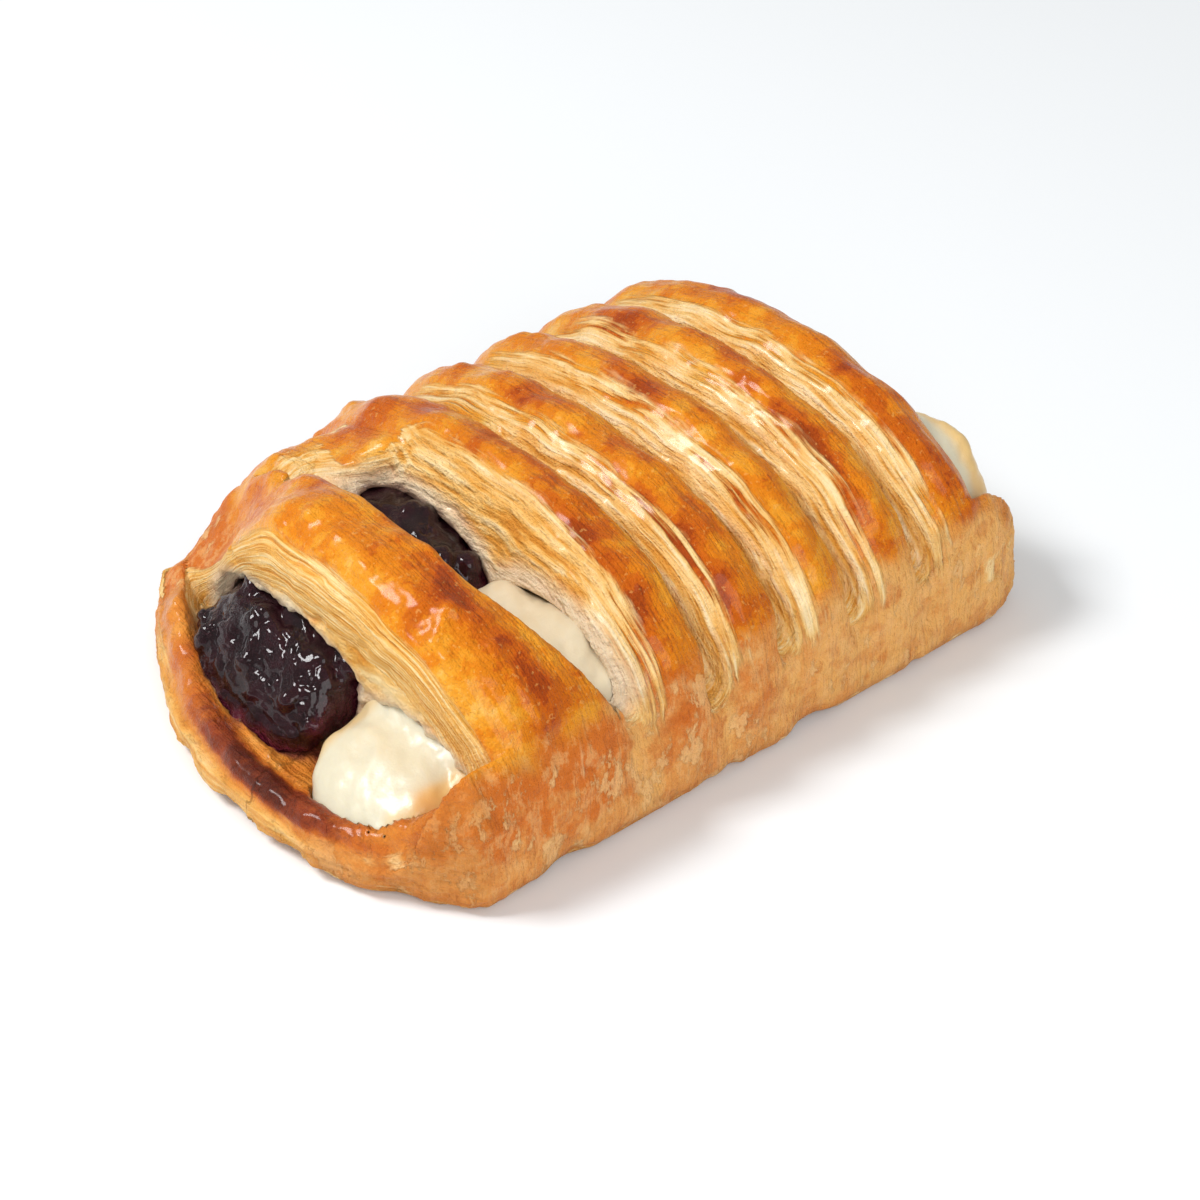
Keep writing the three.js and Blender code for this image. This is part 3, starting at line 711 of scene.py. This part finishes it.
# BERRY FILLING. Whole dark berries cooked with sugar to a thick wet jam. Their lumps stand out of the
# set jelly between them, which shines, and thins to purple-red at the edges.
step = 0.42
low = np.array([-54, -14, 3.5])
gx, gy, gz = grid_of(low, (55.5, 27, 28), step)
field = np.array(np.broadcast_to(log_at(berry_log, gx, gy, gz) + 0.7, (gx.size, gy.size, gz.size)))
points, faces = skin_of(field, low, step)
rng = np.random.default_rng(23)
berries = 170
for centre in points[rng.choice(len(points), berries, replace=False)]:
    size = rng.uniform(2.2, 4.6)
    first = np.maximum(((centre - size - 1 - low) / step).astype(int), 0)
    last = ((centre + size + 1 - low) / step).astype(int) + 1
    block = tuple(slice(a, b) for a, b in zip(first, last))
    dx, dy, dz = gx[block[0]] - centre[0], gy[:, block[1]] - centre[1], gz[:, :, block[2]] - centre[2]
    ball = np.sqrt(dx * dx + dy * dy + dz * dz) - size * 0.36
    field[block] = -soft_max(-field[block], -ball, 1.4)
field = np.maximum(field, (floor_height - gz) + 0 * field)
points, faces = skin_of(field, low, step)
points = relax(points, faces, 1, 0.3)
normals = normals_of(points, faces)
x, y, z = points.T
creases = np.abs(noise(x, y, z, 2.6, 2, seed=31)) + 0.5 * np.abs(noise(x, y, z, 1.1, 1, seed=33))
lift = clearance - 0.45 * smooth(0.4, 0, creases) + 0.4 * noise(x, y, z, 3.2, 3, seed=34)
points = points + normals * lift[:, None]
ragged_height = z - floor_height + 0.8 * noise(x, y, z, 2, 2, seed=32)
thin = smooth(3.8, 0.6, ragged_height) * smooth(-41, -45, x)
edge = np.maximum(thin, 0.8 * smooth(-5.0, -8.5, y))


def berry_feeds(tree):
    shared = tree.nodes.new("ShaderNodeGroup")
    shared.node_tree = pores
    mottle, fine = shared.outputs["Mottle"], shared.outputs["Fine"]
    skins = between(tree, mottle, 0.42, 0.62)
    colour = blend(tree, skins, "150509", "260a12")
    colour = blend(tree, carried(tree, "edge"), colour, blend(tree, fine, "4c1424", "74263a"))
    rough = between(tree, mottle, 0.35, 0.7, 0.1, 0.25)
    height = calc(tree, "MULTIPLY_ADD", fine, 1.1, mottle)
    bump = add(tree, "Bump", {"Strength": 1.0, "Distance": 0.0009, "Height": height}, "Normal")
    return {
        "Base Color": colour,
        "Roughness": rough,
        "Coat Weight": 0.55,
        "Coat Roughness": 0.03,
        "Normal": bump,
        "Specular IOR Level": 0.32,
        "Specular Tint": linear("b0707c"),
        "Subsurface Weight": 0.04,
        "Subsurface Radius": (0.002, 0.0004, 0.0005),
        "Subsurface Scale": 1.0,
    }


berry = make_piece("danish_berry_filling", points, faces, {"edge": edge}, surface("berry_jam", berry_feeds))
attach(berry, "root")
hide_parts("berry_filling")


# CREAM FILLING. A smooth baked cheese custard, piped in one thick line beside the berries. It swelled
# out of both ends as it baked, ivory in the middle and yellower where it set against the hot dough.
step = 0.5
low = np.array([-54, -37, 3.5])
gx, gy, gz = grid_of(low, (59, -3, 29), step)
swollen = 0.75 * noise(gx + 0 * gy, gy + 0 * gx, 0 * gx + 0 * gy + gz, 6, 2, seed=41)
# it is pressed in where the berries lie against it
field = np.maximum(log_at(cream_log, gx, gy, gz) + 0.25 - swollen, 0.1 - log_at(berry_log, gx, gy, gz))
points, faces = skin_of(np.maximum(field, floor_height - gz), low, step)
points = relax(points, faces, 2, 0.5)
normals = normals_of(points, faces)
x, y, z = points.T
points = points + normals * (0.3 * noise(x, y, z, 3.2, 3, seed=42))[:, None]
warm = smooth(-24, -31, y + 2.0 * noise(x, y, z, 6, 2, seed=43)) * smooth(-30, -40, x)
warm = np.maximum(warm, 0.6 * smooth(-13.5, -10.5, y) * smooth(-30, -40, x))
warm = np.maximum(warm, 0.9 * smooth(49, 53, x) * smooth(12, 18, z))
# the cream seen down in the slits is painted darker and more tan: painted shade
slit_cream_shade = smooth(-37, -32, x) * smooth(20, 0, x)
spot = np.exp(-(((x + 45) / 2.2) ** 2) - ((y + 29.5) / 1.8) ** 2)


def cream_feeds(tree):
    shared = tree.nodes.new("ShaderNodeGroup")
    shared.node_tree = pores
    mottle, fine = shared.outputs["Mottle"], shared.outputs["Fine"]
    warm = stray(tree, carried(tree, "warm"), mottle, 0.5)
    colour = blend(tree, between(tree, warm, 0.1, 0.9), "dad2b8", "e4bf7e")
    # painted shade on the cream down in the slits, a darker mottled tan
    slit_shade_colour = blend(tree, mottle, "d0bb97", "e5d7ba")
    colour = blend(tree, calc(tree, "MULTIPLY", carried(tree, "slit_shade"), 0.85), colour, slit_shade_colour)
    colour = blend(tree, calc(tree, "MULTIPLY", carried(tree, "spot"), 0.6), colour, "dd9a4c")
    rough = between(tree, mottle, 0.3, 0.7, 0.28, 0.42)
    height = calc(tree, "MULTIPLY_ADD", fine, 0.25, mottle)
    bump = add(tree, "Bump", {"Strength": 0.5, "Distance": 0.0003, "Height": height}, "Normal")
    return {
        "Base Color": colour,
        "Roughness": rough,
        "Coat Weight": 0.22,
        "Coat Roughness": 0.24,
        "Normal": bump,
        "Subsurface Weight": 0.2,
        "Subsurface Radius": (0.004, 0.003, 0.0018),
        "Subsurface Scale": 1.0,
    }


cream = make_piece(
    "danish_cream_filling",
    points,
    faces,
    {"warm": warm, "spot": spot, "slit_shade": slit_cream_shade},
    surface("cream", cream_feeds),
)
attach(cream, "root")
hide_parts("cream_filling")


# FLOOR. A plain white paper sweep under the pastry, which catches its soft shadow. It is no part of
# the pastry.
sweep = bpy.data.meshes.new("floor")
reach, below_base = 2, -0.0002
corners = [(reach * i, reach * j, below_base) for i, j in ((-1, -1), (1, -1), (1, 1), (-1, 1))]
sweep.from_pydata(corners, [], [(0, 1, 2, 3)])
white_paper = {"Base Color": linear("f3f6f8"), "Roughness": 0.9}
sweep.materials.append(surface("white_paper", lambda tree: white_paper))
floor = bpy.data.objects.new("floor", sweep)
bpy.context.scene.collection.objects.link(floor)


# LIGHT AND CAMERA. A small soft box high up behind the left of the view, a broad one beside the
# camera, and a white room. The camera looks from where the photograph was taken.
def soft_box(name, direction, distance, size, watts, colour=(1, 1, 1)):
    lamp = bpy.data.lights.new(name, "AREA")
    lamp.size = size
    lamp.energy = watts
    lamp.color = colour
    made = bpy.data.objects.new(name, lamp)
    way = Vector(direction).normalized()
    made.location = way * distance
    made.rotation_euler = (-way).to_track_quat("-Z", "Y").to_euler()
    bpy.context.scene.collection.objects.link(made)


soft_box("key", (-0.48, 0.36, 0.8), 0.9, 0.27, 5.7)
soft_box("fill", (-0.36, -0.76, 0.54), 1.1, 0.8, 6.1)
world = bpy.data.worlds.new("room")
world.use_nodes = True
world.node_tree.nodes["Background"].inputs["Color"].default_value = (1, 1, 1, 1)
world.node_tree.nodes["Background"].inputs["Strength"].default_value = 0.41
bpy.context.scene.world = world
bpy.context.scene.view_settings.view_transform = "Standard"

view = bpy.data.cameras.new("camera")
view.lens = 84
view.sensor_width = 36
view.clip_start = 0.01
camera = bpy.data.objects.new("camera", view)
bpy.context.scene.collection.objects.link(camera)
camera.location = (-0.20413, -0.24580, 0.24101)
turn, down = math.radians(41), math.radians(36.4)
ahead = Vector((math.sin(turn) * math.cos(down), math.cos(turn) * math.cos(down), -math.sin(down)))
camera.rotation_euler = ahead.to_track_quat("-Z", "Y").to_euler()
bpy.context.scene.camera = camera
